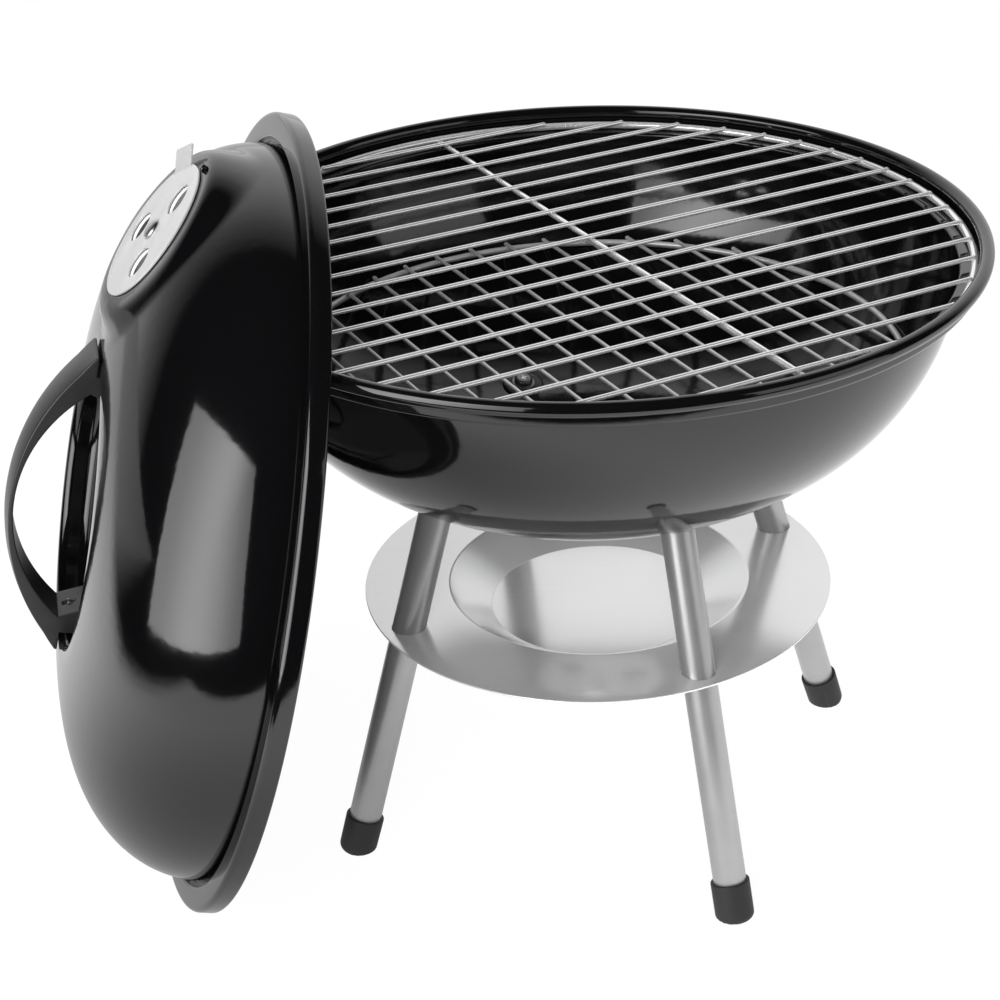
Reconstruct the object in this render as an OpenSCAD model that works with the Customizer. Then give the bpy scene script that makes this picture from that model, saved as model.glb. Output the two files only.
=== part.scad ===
// Portable kettle charcoal grill with its lid taken off and leaned against the bowl.
// Origin: on the bowl's axis, at ground level. +X is to the right of a person at the grill, +Y is away.

/* [Bowl] */
// Outer radius of the rolled rim
rim_r = 184; // [178:1:192]
// Height of the rim bead's centre above the ground
rim_z = 297; // [288:1:306]
// Radius of the rolled bead
rim_bead_r = 3.3; // [2.6:0.1:4]
// Steel thickness of the bowl and the lid
sheet = 1.2; // [0.9:0.1:1.5]
// Depth of the grate ledge below the bead's centre
ledge_drop = 7.5; // [6:0.5:9]
// Width of the grate ledge
ledge_w = 7.8; // [7:0.1:9]
// Depth of the bowl below the ledge
bowl_depth = 107.5; // [95:0.5:115]
// Radius of the flat vent seat under the bowl
bowl_seat_r = 35; // [34:0.5:40]

/* [Legs] */
// Turn of the first leg about the bowl's axis
leg_turn = 26; // [0:1:89]
// Distance from the axis to a leg's centre line at the ground
leg_spread = 138.4; // [125:0.1:150]
// Lean of a leg from the vertical
leg_splay = 16.9; // [15:0.1:21]
// Outer radius of a leg tube
leg_r = 8; // [7:0.1:9]
// Wall of a leg tube
leg_wall = 1.2; // [0.8:0.1:2]
// Length of a foot cap along its leg
foot_h = 18; // [15:1:30]
// Wall of a foot cap
foot_wall = 1.4; // [1.2:0.1:2.5]
// Distance from the ground to the end of the tube, along the leg
foot_floor = 7; // [6:0.5:9]

/* [Ash tray] */
// Outer radius of the tray
tray_r = 116; // [112:0.5:124]
// Height of the tray's flat top above the ground
tray_z = 118.5; // [105:0.5:130]
// Steel thickness of the tray
tray_sheet = 1; // [0.8:0.1:1.5]
// Radius of the well at the top
well_top_r = 75; // [60:1:84]
// Radius of the well's floor
well_floor_r = 55; // [40:1:58]
// Depth of the well
well_depth = 15; // [8:0.5:20]

/* [Grates] */
// Turn of the cooking bars about the bowl's axis
bar_turn = 28.2; // [0:0.1:89]
// Distance between cooking bars
bar_pitch = 19.15; // [14:0.05:22]
// Number of cooking bars
bar_count = 18; // [10:2:18]
// Radius of a cooking bar
bar_r = 1.1; // [0.9:0.05:1.5]
// Radius of the cooking grate's ring wire
grate_wire_r = 1.8; // [1.4:0.1:2.2]
// Radius of the wire that carries the bars
support_r = 1.3; // [1.1:0.1:1.8]
// Distance of that wire from the middle
support_offset = 7; // [0:0.5:12]
// Outer radius of the charcoal grate
coal_r = 149.2; // [120:0.1:152]
// Radius of the charcoal grate's ring wire
coal_ring_r = 1.6; // [1.4:0.1:2.4]
// Radius of a charcoal grate wire
coal_wire_r = 1; // [0.8:0.05:1.3]
// Distance between charcoal grate wires
coal_pitch = 19.6; // [15:0.1:22]
// Number of charcoal grate wires
coal_count = 14; // [8:2:14]

/* [Lid] */
// Lean of the lid's opening from the vertical
lid_lean = 15.3; // [13:0.1:16.5]
// Compass turn of the lid's crown, away from the bowl
lid_heading = 193; // [180:0.1:200]
// How far the lid's lip is wider than the bowl's rim
lip_over = 2; // [1.8:0.1:3]
// Height of the lip below the flange
lip_h = 8; // [6:0.5:10]
// Radius of the lip's safe edge
lip_bead_r = 1.2; // [1:0.1:1.5]
// Width of the flange outside the dome
flange_w = 14.5; // [13:0.1:17]
// Depth of the groove that centres the lid inside the rim
groove_depth = 5.5; // [3:0.1:5.8]
// Height of the dome above the flange
dome_h = 69; // [55:1:80]
// Radius of the dish in the crown
dish_r = 68; // [66:0.5:72]
// Depth of the dish below its edge
dish_depth = 14; // [10:0.5:18]

/* [Lid handle] */
// Width of the handle
handle_w = 24; // [20:1:34]
// Half the length of the handle
handle_half = 74.5; // [74:0.5:82]
// Height of the handle's top above the dome's pole
handle_rise = 30.2; // [24:0.1:36]
// Thickness of the arch at its top
handle_thick = 3.4; // [3:0.1:5]

/* [Dampers] */
// Radius of the lid's damper disc
lid_damper_r = 33.5; // [32:0.5:34]
// Radius of a lid vent hole
lid_vent_r = 7.5; // [5:0.25:8]
// Distance from the lid damper's rivet to a vent hole
lid_vent_ring = 18.5; // [16:0.25:20]
// Radius of the flat seat under the lid's damper
lid_seat_r = 39; // [38.5:0.5:41]
// Distance from the lid's axis to the damper's rivet
lid_damper_out = 132.5; // [128:0.5:134]
// Tilt of the damper's seat
lid_damper_tilt = 27; // [24:0.5:29]
// How deep the seat is pressed into the dome at its centre
lid_seat_sink = 1.5; // [1:0.5:5]
// Radius of the bowl's damper disc
bowl_damper_r = 32; // [29:0.5:33]
// Radius of a bowl vent hole
bowl_vent_r = 7; // [5:0.25:8]
// Distance from the bowl damper's rivet to a vent hole
bowl_vent_ring = 19; // [16:0.25:20]
// Thickness of a damper disc
damper_sheet = 1; // [0.8:0.1:1.5]

/* [Clearances] */
// Running clearance round a damper's rivet
rivet_clear = 0.06; // [0.02:0.01:0.1]
// Gap between a damper and its seat or rivet head
damper_gap = 0.25; // [0.2:0.05:0.4]
// Clearance round a leg in the tray's hole
tray_clear = 0.2; // [0.1:0.05:0.5]
// Clearance of a screw in its hole
screw_clear = 0.06; // [0.02:0.01:0.3]
// Gap between the charcoal grate's ring and the bowl's wall
coal_gap = 0.3; // [0.2:0.05:0.5]
// Gap between the cooking grate's ring and the ledge
grate_gap = 0.2; // [0.1:0.05:0.4]
// Gap between the leaning lid and the bowl's rim
lid_gap = 0.4; // [0.2:0.05:0.8]
// Gap between the cap or plug and the leg tube
cap_clear = 0.05; // [0.02:0.01:0.15]

/* [Hidden] */
$fn = 96;
leg_count = 4;
vent_count = 3;
vent_land = 2;
far = 400;
cut = 1;
halvings = 30;

// The bowl's outer wall is a superellipse: blunt at the shoulder and nearly flat at the bottom.
bowl_down_power = 1.77;
bowl_out_power = 3.05;
wall_steps = 26;
ledge_z = rim_z - ledge_drop;
ledge_r = rim_r - 2 * rim_bead_r + sheet;
wall_r = ledge_r - ledge_w - sheet;
bowl_bottom_z = ledge_z - bowl_depth;
function wall_point(a, inset) = [
    (wall_r - inset) * pow(cos(a), 2 / bowl_out_power),
    ledge_z - (bowl_depth - inset) * pow(sin(a), 2 / bowl_down_power)
];
function wall_points(inset) = [for (i = [0:wall_steps]) wall_point(90 * i / wall_steps, inset)];
function wall_radius(z) =
    wall_r * pow(1 - pow((ledge_z - z) / bowl_depth, bowl_down_power), 1 / bowl_out_power);

// Legs: the length at which a leg's centre line meets the bowl is found by halving an interval.
function leg_z(t) = t * cos(leg_splay);
function leg_axis_r(t) = leg_spread - t * sin(leg_splay);
function leg_meet(low, high, n) =
    n == 0 ? (low + high) / 2 :
    let (mid = (low + high) / 2)
    leg_z(mid) > bowl_bottom_z && wall_radius(leg_z(mid)) > leg_axis_r(mid) ?
        leg_meet(low, mid, n - 1) : leg_meet(mid, high, n - 1);
leg_reach = leg_meet(bowl_bottom_z * 0.8, ledge_z, halvings);
pad_r = 10.5;
pad_proud = 1.4;
pad_out = leg_reach - pad_proud;
pad_in = leg_reach + sheet + pad_proud;
plug_flange = 3;
plug_depth = 20;
plug_over = 0.6;
plug_floor = 3;
leg_top = pad_out - plug_flange;
foot_r = leg_r + cap_clear + foot_wall;
foot_round = 4;
leg_screw_r = 2.5;
leg_screw_len = 15;
leg_screw_head_r = 4.6;
leg_screw_head_h = 2.8;
leg_washer_r = 6;
leg_washer_h = 1;
function leg_angle(i) = leg_turn + 360 * i / leg_count;

// Grates
weld = 0.1;
ring_shift = 0.6;
bar_short = 0.8;
support_weld = 0.4;
coal_wire_over = 1;
coal_steps = 180;
coal_headroom = 10;
grate_ring_r = ledge_r - ledge_w / 2 + ring_shift;
grate_ring_z = ledge_z + grate_gap + grate_wire_r;
support_z = ledge_z + grate_gap + support_r;
bar_z = support_z + support_r + bar_r - weld;
bar_reach = grate_ring_r - bar_short;
support_reach = grate_ring_r - grate_wire_r + support_weld;
coal_ring_mid = coal_r - coal_ring_r;
coal_samples = [for (i = [0:coal_steps]) wall_point(90 * i / coal_steps, sheet)];
function coal_room(z) = min([for (p = coal_samples) norm(p - [coal_ring_mid, z])]);
function coal_drop(low, high, n) =
    n == 0 ? high :
    let (mid = (low + high) / 2)
    wall_radius(mid) - sheet > coal_r && coal_room(mid) > coal_ring_r + coal_gap ?
        coal_drop(low, mid, n - 1) : coal_drop(mid, high, n - 1);
coal_ring_z = coal_drop(bowl_bottom_z, ledge_z - coal_headroom, halvings);
coal_wire_z = coal_ring_z + coal_ring_r + coal_wire_r - weld;
coal_wire_reach = coal_ring_mid + coal_wire_over;

// Lid
lid_r = rim_r + lip_over;
dome_r = lid_r - flange_w;
groove_clear = 1.9;
groove_r = rim_r - 2 * rim_bead_r - groove_clear;
dome_out_power = 3.583;
dome_up_power = 1.936;
flange_z = lip_h;
lid_low = (lid_r - lip_bead_r) * cos(lid_lean) + lip_bead_r * (1 - sin(lid_lean));

// The lid leans until the inner edge of its groove meets the rim's bead, found by halving an interval.
lean_edge_r = dome_r - sheet;
lean_edge_z = flange_z - groove_depth;
lean_angles = [20:0.5:90];
function lean_miss(out, a) =
    let (
        along = out - sin(lid_lean) * lean_edge_r * cos(a) + cos(lid_lean) * lean_edge_z,
        over = norm([along, lean_edge_r * sin(a)]) - rim_r + rim_bead_r,
        rise = lid_low + cos(lid_lean) * lean_edge_r * cos(a) + sin(lid_lean) * lean_edge_z - rim_z
    )
    over < 0 && abs(rise) < rim_bead_r ? 0 : norm([over, rise]);
function lean_clears(out) = min([for (a = lean_angles) lean_miss(out, a)]) > rim_bead_r + lid_gap;
function lean_meet(low, high, n) =
    n == 0 ? high :
    let (mid = (low + high) / 2)
    lean_clears(mid) ? lean_meet(low, mid, n - 1) : lean_meet(mid, high, n - 1);
lid_out = lean_meet(rim_r / 2, rim_r * 1.2, halvings);
function dome_z(r) = flange_z + dome_h * pow(1 - pow(r / dome_r, dome_out_power), 1 / dome_up_power);
function dome_point(a, inset) = [
    (dome_r - inset) * pow(sin(a), 2 / dome_out_power),
    flange_z + (dome_h - inset) * pow(cos(a), 2 / dome_up_power)
];
function dome_points(inset) = [for (i = [0:wall_steps]) dome_point(90 * i / wall_steps, inset)];
dish_flare = 4;
dish_fillet = 5;
dish_edge_z = dome_z(dish_r + dish_flare);
dish_z = dish_edge_z - dish_depth;
handle_top = flange_z + dome_h + handle_rise;
handle_lift = 0.4;
handle_end_h = 1.2;
handle_end_in = 1.6;
handle_bevel = 6;
handle_seat_y = [50, 60.3];
handle_wall_y = 65.3;
handle_inner_y = 57;
handle_screw_y = (handle_seat_y[0] + handle_seat_y[1]) / 2;
handle_screw_r = 2;
handle_screw_len = 14;
handle_head_r = 3.8;
handle_head_h = 2.4;
handle_washer_r = 5;
handle_washer_h = 1;

// Dampers
rivet_r = 2.5;
rivet_head_r = 5;
rivet_head_h = 1.8;
lid_seat_z = dome_z(lid_damper_out) - lid_seat_sink;
seat_skirt = 14;
vent_turn = -100;
tab_turn = -54;
tab_w = 16;
tab_root = 2.5;
tab_len = 11;
tab_rise = 23;
tab_notch = 0.7;
tab_bend = 0.4;
stop_turn = -98;
stop_out = 36.7;
stop_r = 1.8;
stop_h = 2.2;

steel = "silver";
enamel = [0.07, 0.07, 0.08];
plastic = [0.12, 0.12, 0.13];

// ---- Placement ----

module at_leg(i) {
    rotate([0, 0, leg_angle(i)]) translate([leg_spread, 0, 0]) rotate([0, -leg_splay, 0]) children();
}

module at_lid() {
    heading = [cos(lid_heading), sin(lid_heading)];
    translate([lid_out * heading[0], lid_out * heading[1], lid_low])
        rotate([90 - lid_lean, 0, lid_heading - 270])
            children();
}

// X along the seat, Y towards the crown, Z out of the dome.
module at_lid_seat() {
    translate([0, lid_damper_out, lid_seat_z])
        rotate([-lid_damper_tilt, 0, 0]) rotate([0, 0, 180]) children();
}

module ring(mid_r, wire_r, z) {
    translate([0, 0, z]) rotate_extrude() translate([mid_r, 0]) circle(r = wire_r, $fn = 32);
}

// Straight wires side by side, each ending on a circle of the given radius.
module wire_row(count, pitch, wire_r, reach, z, turn) {
    rotate([0, 0, turn])
        for (i = [0:count - 1]) {
            across = (i - (count - 1) / 2) * pitch;
            half = sqrt(reach * reach - across * across);
            translate([-half, across, z]) rotate([0, 90, 0]) cylinder(h = 2 * half, r = wire_r, $fn = 24);
        }
}

// ---- Bowl ----

module wall_solid(inset) {
    top = ledge_z + far;
    rotate_extrude() polygon(concat([[0, top], [wall_r - inset, top]], wall_points(inset)));
}

module leg_pads() {
    for (i = [0:leg_count - 1])
        at_leg(i) translate([0, 0, pad_out]) cylinder(h = pad_in - pad_out, r = pad_r);
}

module bowl_wall() {
    difference() {
        intersection() {
            union() {
                wall_solid(0);
                translate([0, 0, bowl_bottom_z]) cylinder(h = sheet, r = bowl_seat_r);
            }
            cylinder(h = ledge_z, r = rim_r);
        }
        wall_solid(sheet);
        translate([0, 0, bowl_bottom_z + sheet])
            cylinder(h = sheet, r = bowl_vent_ring + bowl_vent_r + vent_land);
    }
}

module bowl() {
    color(enamel) difference() {
        union() {
            bowl_wall();
            leg_pads();
            ring(rim_r - rim_bead_r, rim_bead_r, rim_z);
            difference() {
                translate([0, 0, ledge_z - sheet]) cylinder(h = rim_z - ledge_z + sheet, r = ledge_r + sheet);
                translate([0, 0, ledge_z]) cylinder(h = far, r = ledge_r);
                translate([0, 0, ledge_z - far / 2]) cylinder(h = far, r = wall_r - sheet);
            }
        }
        for (i = [0:leg_count - 1])
            at_leg(i) translate([0, 0, pad_out - cut])
                cylinder(h = pad_in - pad_out + 2 * cut, r = leg_screw_r + screw_clear);
        translate([0, 0, bowl_bottom_z - cut]) {
            vent_holes(bowl_vent_r, bowl_vent_ring, sheet + 2 * cut);
            cylinder(h = sheet + 2 * cut, r = rivet_r);
        }
    }
}

module vent_holes(hole_r, ring_r, depth) {
    for (i = [0:vent_count - 1])
        rotate([0, 0, vent_turn + 360 * i / vent_count]) translate([ring_r, 0, 0])
            cylinder(h = depth, r = hole_r);
}

// A disc with vent holes, a rivet hole and a bent thumb tab, lying on z = 0.
module damper_plate(disc_r, hole_r, ring_r) {
    difference() {
        cylinder(h = damper_sheet, r = disc_r);
        translate([0, 0, -cut]) vent_holes(hole_r, ring_r, damper_sheet + 2 * cut);
        translate([0, 0, -cut]) cylinder(h = damper_sheet + 2 * cut, r = rivet_r + rivet_clear);
        rotate([0, 0, tab_turn]) translate([disc_r - tab_root + tab_bend, -tab_w / 2 - tab_notch, -cut])
            cube([far, tab_w + 2 * tab_notch, damper_sheet + 2 * cut]);
    }
    rotate([0, 0, tab_turn]) translate([disc_r - tab_root, -tab_w / 2, 0]) rotate([0, -tab_rise, 0])
        cube([tab_len, tab_w, damper_sheet]);
}

// A rivet through a seat: its shop head lies under the sheet, its round head over the disc.
module damper_rivet() {
    translate([0, 0, -sheet]) cylinder(h = sheet + 2 * damper_gap + damper_sheet, r = rivet_r);
    translate([0, 0, 2 * damper_gap + damper_sheet]) rivet_head();
    translate([0, 0, -sheet]) mirror([0, 0, 1]) rivet_head();
}

module rivet_head() {
    crown_r = (rivet_head_r * rivet_head_r + rivet_head_h * rivet_head_h) / (2 * rivet_head_h);
    intersection() {
        translate([0, 0, rivet_head_h - crown_r]) sphere(r = crown_r);
        cylinder(h = rivet_head_h, r = rivet_head_r);
    }
}

module bowl_damper() {
    color(steel) translate([0, 0, bowl_bottom_z - damper_gap]) mirror([0, 0, 1])
        damper_plate(bowl_damper_r, bowl_vent_r, bowl_vent_ring);
}

module bowl_damper_rivet() {
    color(steel) translate([0, 0, bowl_bottom_z]) mirror([0, 0, 1]) damper_rivet();
}

// ---- Legs ----

module leg(i) {
    color("gainsboro") at_leg(i) translate([0, 0, foot_floor]) difference() {
        cylinder(h = leg_top - foot_floor, r = leg_r);
        translate([0, 0, -cut]) cylinder(h = leg_top - foot_floor + 2 * cut, r = leg_r - leg_wall);
    }
}

// A rubber cap with a rounded end, cut level with the ground.
module foot_cap(i) {
    start = -foot_r * tan(leg_splay);
    round_points = [for (a = [0:15:90]) [
        foot_r - foot_round + foot_round * sin(a),
        start + foot_round - foot_round * cos(a)
    ]];
    color(plastic) difference() {
        at_leg(i) difference() {
            rotate_extrude() polygon(concat([[0, start]], round_points, [[foot_r, foot_h], [0, foot_h]]));
            translate([0, 0, foot_floor]) cylinder(h = foot_h, r = leg_r + cap_clear);
        }
        translate([0, 0, -far]) cylinder(h = far, r = far);
    }
}

module leg_plugs() {
    color(plastic) for (i = [0:leg_count - 1]) at_leg(i) difference() {
        union() {
            translate([0, 0, leg_top]) cylinder(h = plug_flange, r = leg_r + plug_over);
            translate([0, 0, leg_top - plug_depth])
                cylinder(h = plug_depth + cut, r = leg_r - leg_wall - cap_clear);
        }
        translate([0, 0, leg_top - plug_depth + plug_floor])
            cylinder(h = far, r = leg_screw_r + screw_clear);
    }
}

module leg_washers() {
    color(steel) for (i = [0:leg_count - 1]) at_leg(i) translate([0, 0, pad_in]) difference() {
        cylinder(h = leg_washer_h, r = leg_washer_r);
        translate([0, 0, -cut]) cylinder(h = leg_washer_h + 2 * cut, r = leg_screw_r + screw_clear);
    }
}

module leg_screws() {
    head_z = pad_in + leg_washer_h;
    color(steel) for (i = [0:leg_count - 1]) at_leg(i) {
        translate([0, 0, head_z - leg_screw_len]) cylinder(h = leg_screw_len + cut, r = leg_screw_r);
        translate([0, 0, head_z]) cylinder(h = leg_screw_head_h, r = leg_screw_head_r);
    }
}

// ---- Ash tray ----

module tray_solid(inset) {
    top = inset > 0 ? tray_z + cut : tray_z;
    rotate_extrude() polygon([
        [0, top], [well_top_r - inset, top], [well_top_r - inset, tray_z],
        [well_floor_r - inset, tray_z - well_depth + inset], [0, tray_z - well_depth + inset]
    ]);
}

module ash_tray() {
    color("gainsboro") difference() {
        union() {
            translate([0, 0, tray_z - tray_sheet]) cylinder(h = tray_sheet, r = tray_r);
            tray_solid(0);
        }
        tray_solid(tray_sheet);
        for (i = [0:leg_count - 1])
            at_leg(i) cylinder(h = far / 2, r = leg_r + tray_clear);
    }
}

// ---- Grates ----

module cooking_grate_ring() {
    color(steel) ring(grate_ring_r, grate_wire_r, grate_ring_z);
}

module cooking_grate_bars() {
    color(steel) wire_row(bar_count, bar_pitch, bar_r, bar_reach, bar_z, bar_turn);
}

module cooking_grate_support() {
    half = sqrt(support_reach * support_reach - support_offset * support_offset);
    color(steel) rotate([0, 0, bar_turn]) translate([support_offset, half, support_z])
        rotate([90, 0, 0]) cylinder(h = 2 * half, r = support_r, $fn = 24);
}

module charcoal_grate_ring() {
    color("gray") ring(coal_ring_mid, coal_ring_r, coal_ring_z);
}

module charcoal_grate_wires() {
    color("gray") wire_row(coal_count, coal_pitch, coal_wire_r, coal_wire_reach, coal_wire_z, bar_turn + 90);
}

// ---- Lid ----

// The space that the crown's dish takes, grown outwards by the sheet when the inside is cut.
module dish_space(grow) {
    fillet_mid = [dish_r - dish_fillet, dish_z + dish_fillet];
    flare_mid = [dish_r + dish_flare, dish_edge_z - dish_flare];
    fillet = [for (a = [0:10:90]) fillet_mid + (dish_fillet + grow) * [sin(a), -cos(a)]];
    flare = [for (a = [0:10:90]) flare_mid + (dish_flare - grow) * [-cos(a), sin(a)]];
    top = dish_edge_z + far / 10;
    rotate_extrude() polygon(concat(
        [[0, dish_z - grow]], fillet, flare, [[dish_r + dish_flare, top], [0, top]]
    ));
}

// The flat under the damper: a low cone that stands out of the dome where the dome falls away.
module seat_boss(inset) {
    at_lid_seat() translate([0, 0, -seat_skirt - inset])
        cylinder(h = seat_skirt, r1 = lid_seat_r - inset / 2 + seat_skirt, r2 = lid_seat_r - inset / 2);
}

module seat_space(grow) {
    at_lid_seat() translate([0, 0, -grow])
        cylinder(h = seat_skirt, r1 = lid_seat_r + grow / 2, r2 = lid_seat_r + grow / 2 + seat_skirt);
}

module dome_solid(inset) {
    rotate_extrude() polygon(concat([[0, -cut]], dome_points(inset), [[dome_r - inset, -cut]]));
}

// Outer and inner skins are the same shape, one sheet apart.
module lid_skin(inset) {
    difference() {
        union() {
            dome_solid(inset);
            intersection() {
                seat_boss(inset);
                cylinder(h = dome_h * 2, r = dome_r - inset);
            }
        }
        seat_space(inset);
        dish_space(inset);
    }
}

module lid_shell() {
    color(enamel) at_lid() difference() {
        union() {
            intersection() {
                lid_skin(0);
                translate([0, 0, flange_z]) cylinder(h = far, r = lid_r);
            }
            difference() {
                translate([0, 0, lip_bead_r]) cylinder(h = lip_h + sheet - lip_bead_r, r = lid_r);
                translate([0, 0, -cut]) cylinder(h = lip_h + cut, r = lid_r - sheet);
            }
            translate([0, 0, flange_z - groove_depth]) cylinder(h = groove_depth + sheet, r = groove_r);
            ring(lid_r - lip_bead_r, lip_bead_r, lip_bead_r);
            at_lid_seat() rotate([0, 0, stop_turn]) translate([stop_out, 0, -sheet / 2])
                cylinder(h = stop_h + sheet / 2, r = stop_r);
        }
        lid_skin(sheet);
        difference() {
            translate([0, 0, flange_z - groove_depth + sheet]) cylinder(h = far, r = groove_r - sheet);
            translate([0, 0, -cut]) cylinder(h = far, r = dome_r);
        }
        at_lid_seat() translate([0, 0, -sheet * 2]) {
            vent_holes(lid_vent_r, lid_vent_ring, sheet * 4);
            cylinder(h = sheet * 4, r = rivet_r);
        }
        for (side = [-1, 1])
            translate([0, side * handle_screw_y, dish_z - sheet - cut])
                cylinder(h = sheet + 2 * cut, r = handle_screw_r + screw_clear);
    }
}

// Half of the handle's outline, from the crown of the arch to its seat in the dish.
function handle_half_outline() =
    let (
        foot_z = dish_edge_z + handle_lift,
        end_z = foot_z + handle_end_h,
        rise = handle_top - end_z,
        outer_r = (handle_half * handle_half + rise * rise) / (2 * rise),
        outer_end = asin(handle_half / outer_r),
        inner_end_z = foot_z + handle_end_in,
        drop = handle_top - handle_thick - inner_end_z,
        inner_r = (handle_inner_y * handle_inner_y + drop * drop) / (2 * drop),
        inner_end = asin(handle_inner_y / inner_r)
    )
    concat(
        [for (i = [0:12]) let (a = outer_end * i / 12)
            [outer_r * sin(a), handle_top - outer_r * (1 - cos(a))]],
        [
            [handle_half, foot_z], [handle_wall_y, foot_z],
            [handle_wall_y, dish_z + handle_bevel], [handle_seat_y[1], dish_z], [handle_seat_y[0], dish_z]
        ],
        [for (i = [10:-1:0]) let (a = inner_end * i / 10)
            [inner_r * sin(a), handle_top - handle_thick - inner_r * (1 - cos(a))]]
    );

module handle_arm() {
    translate([-handle_w / 2, 0, 0]) rotate([90, 0, 90])
        linear_extrude(height = handle_w) polygon(handle_half_outline());
}

module lid_handle() {
    color(plastic) at_lid() difference() {
        union() {
            handle_arm();
            mirror([0, 1, 0]) handle_arm();
        }
        for (side = [-1, 1])
            translate([0, side * handle_screw_y, dish_z - cut])
                cylinder(h = handle_screw_len + cut, r = handle_screw_r + screw_clear);
    }
}

module lid_handle_washers() {
    color(steel) at_lid() for (side = [-1, 1])
        translate([0, side * handle_screw_y, dish_z - sheet - handle_washer_h]) difference() {
            cylinder(h = handle_washer_h, r = handle_washer_r);
            translate([0, 0, -cut]) cylinder(h = handle_washer_h + 2 * cut, r = handle_screw_r + screw_clear);
        }
}

module lid_handle_screws() {
    head_z = dish_z - sheet - handle_washer_h - handle_head_h;
    color(steel) at_lid() for (side = [-1, 1]) translate([0, side * handle_screw_y, head_z]) {
        cylinder(h = handle_head_h, r = handle_head_r);
        cylinder(h = handle_head_h + handle_screw_len, r = handle_screw_r);
    }
}

module lid_damper() {
    color(steel) at_lid() at_lid_seat() translate([0, 0, damper_gap])
        damper_plate(lid_damper_r, lid_vent_r, lid_vent_ring);
}

module lid_damper_rivet() {
    color(steel) at_lid() at_lid_seat() damper_rivet();
}

bowl();
leg(0);  // leg_1
leg(1);  // leg_2
leg(2);  // leg_3
leg(3);  // leg_4
foot_cap(0);  // foot_cap_1
foot_cap(1);  // foot_cap_2
foot_cap(2);  // foot_cap_3
foot_cap(3);  // foot_cap_4
leg_plugs();
leg_screws();
leg_washers();
ash_tray();
bowl_damper();
bowl_damper_rivet();
cooking_grate_ring();
cooking_grate_bars();
cooking_grate_support();
charcoal_grate_ring();
charcoal_grate_wires();
lid_shell();
lid_handle();
lid_handle_screws();
lid_handle_washers();
lid_damper();
lid_damper_rivet();
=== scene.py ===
import math

import bmesh
import bpy
from mathutils import Matrix, Vector


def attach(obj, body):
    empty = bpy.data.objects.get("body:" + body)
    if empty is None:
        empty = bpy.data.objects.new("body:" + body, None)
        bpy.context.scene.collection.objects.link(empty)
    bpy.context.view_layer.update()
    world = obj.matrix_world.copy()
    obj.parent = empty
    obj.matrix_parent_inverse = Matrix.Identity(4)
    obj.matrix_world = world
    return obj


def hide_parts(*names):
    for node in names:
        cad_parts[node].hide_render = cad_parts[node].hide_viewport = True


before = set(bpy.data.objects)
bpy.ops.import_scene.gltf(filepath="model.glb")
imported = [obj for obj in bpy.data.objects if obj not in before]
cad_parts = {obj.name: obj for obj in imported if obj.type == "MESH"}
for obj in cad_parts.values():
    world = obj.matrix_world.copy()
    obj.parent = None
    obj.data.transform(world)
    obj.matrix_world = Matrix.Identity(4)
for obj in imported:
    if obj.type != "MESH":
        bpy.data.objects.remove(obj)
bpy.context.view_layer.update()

mm = 0.001
print("frame loaded:", len(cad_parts), "nodes")


# a socket that can be used in sums, so that shader and geometry maths read as formulas
class Field:
    def __init__(self, graph, socket):
        self.graph = graph
        self.socket = socket

    def calc(self, operation, *others):
        values = dict(enumerate((self,) + others))
        return self.graph.node("ShaderNodeMath", {"operation": operation}, values)[0]

    def __add__(self, other):
        return self.calc("ADD", other)

    def __radd__(self, other):
        return self.calc("ADD", other)

    def __sub__(self, other):
        return self.calc("SUBTRACT", other)

    def __rsub__(self, other):
        return self.graph.node("ShaderNodeMath", {"operation": "SUBTRACT"}, {0: other, 1: self})[0]

    def __mul__(self, other):
        return self.calc("MULTIPLY", other)

    def __pow__(self, other):
        return self.calc("POWER", other)


# a node whose outputs are read as fields
class Made:
    def __init__(self, graph, node):
        self.graph = graph
        self.made = node

    def __getitem__(self, key):
        return Field(self.graph, self.made.outputs[key])


# a node tree that nodes are added to, each with its settings and its inputs by name
class Graph:
    def __init__(self, tree):
        self.tree = tree

    def node(self, kind, settings=None, values=None):
        made = self.tree.nodes.new(kind)
        for name, value in (settings or {}).items():
            if name == "stops":
                ramp = made.color_ramp
                while len(ramp.elements) < len(value):
                    ramp.elements.new(0.5)
                for stop, (place, shade) in zip(ramp.elements, value):
                    stop.position = place
                    stop.color = (shade, shade, shade, 1) if isinstance(shade, float) else (*shade, 1)
            else:
                setattr(made, name, value)
        for key, value in (values or {}).items():
            if isinstance(value, Field):
                self.tree.links.new(value.socket, made.inputs[key])
            else:
                made.inputs[key].default_value = value
        return Made(self, made)

    def step(self, field, low, high, outLow=0.0, outHigh=1.0):
        settings = {"interpolation_type": "SMOOTHSTEP"}
        values = {"Value": field, "From Min": low, "From Max": high, "To Min": outLow, "To Max": outHigh}
        return self.node("ShaderNodeMapRange", settings, values)["Result"]


# finishes, worked out from each piece's own coordinates
def noise(graph, place, scale, detail=2.0, rough=0.5):
    return graph.node("ShaderNodeTexNoise", None,
                      {"Vector": place, "Scale": scale, "Detail": detail, "Roughness": rough})["Fac"]


def stretched(graph, place, turn, scale):
    return graph.node("ShaderNodeMapping", None,
                      {"Vector": place, "Rotation": turn, "Scale": scale})["Vector"]


def tinted(graph, factor, dark, light):
    return graph.node("ShaderNodeMix", {"data_type": "RGBA"},
                      {0: factor, 6: (*dark, 1), 7: (*light, 1)})[2]


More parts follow.
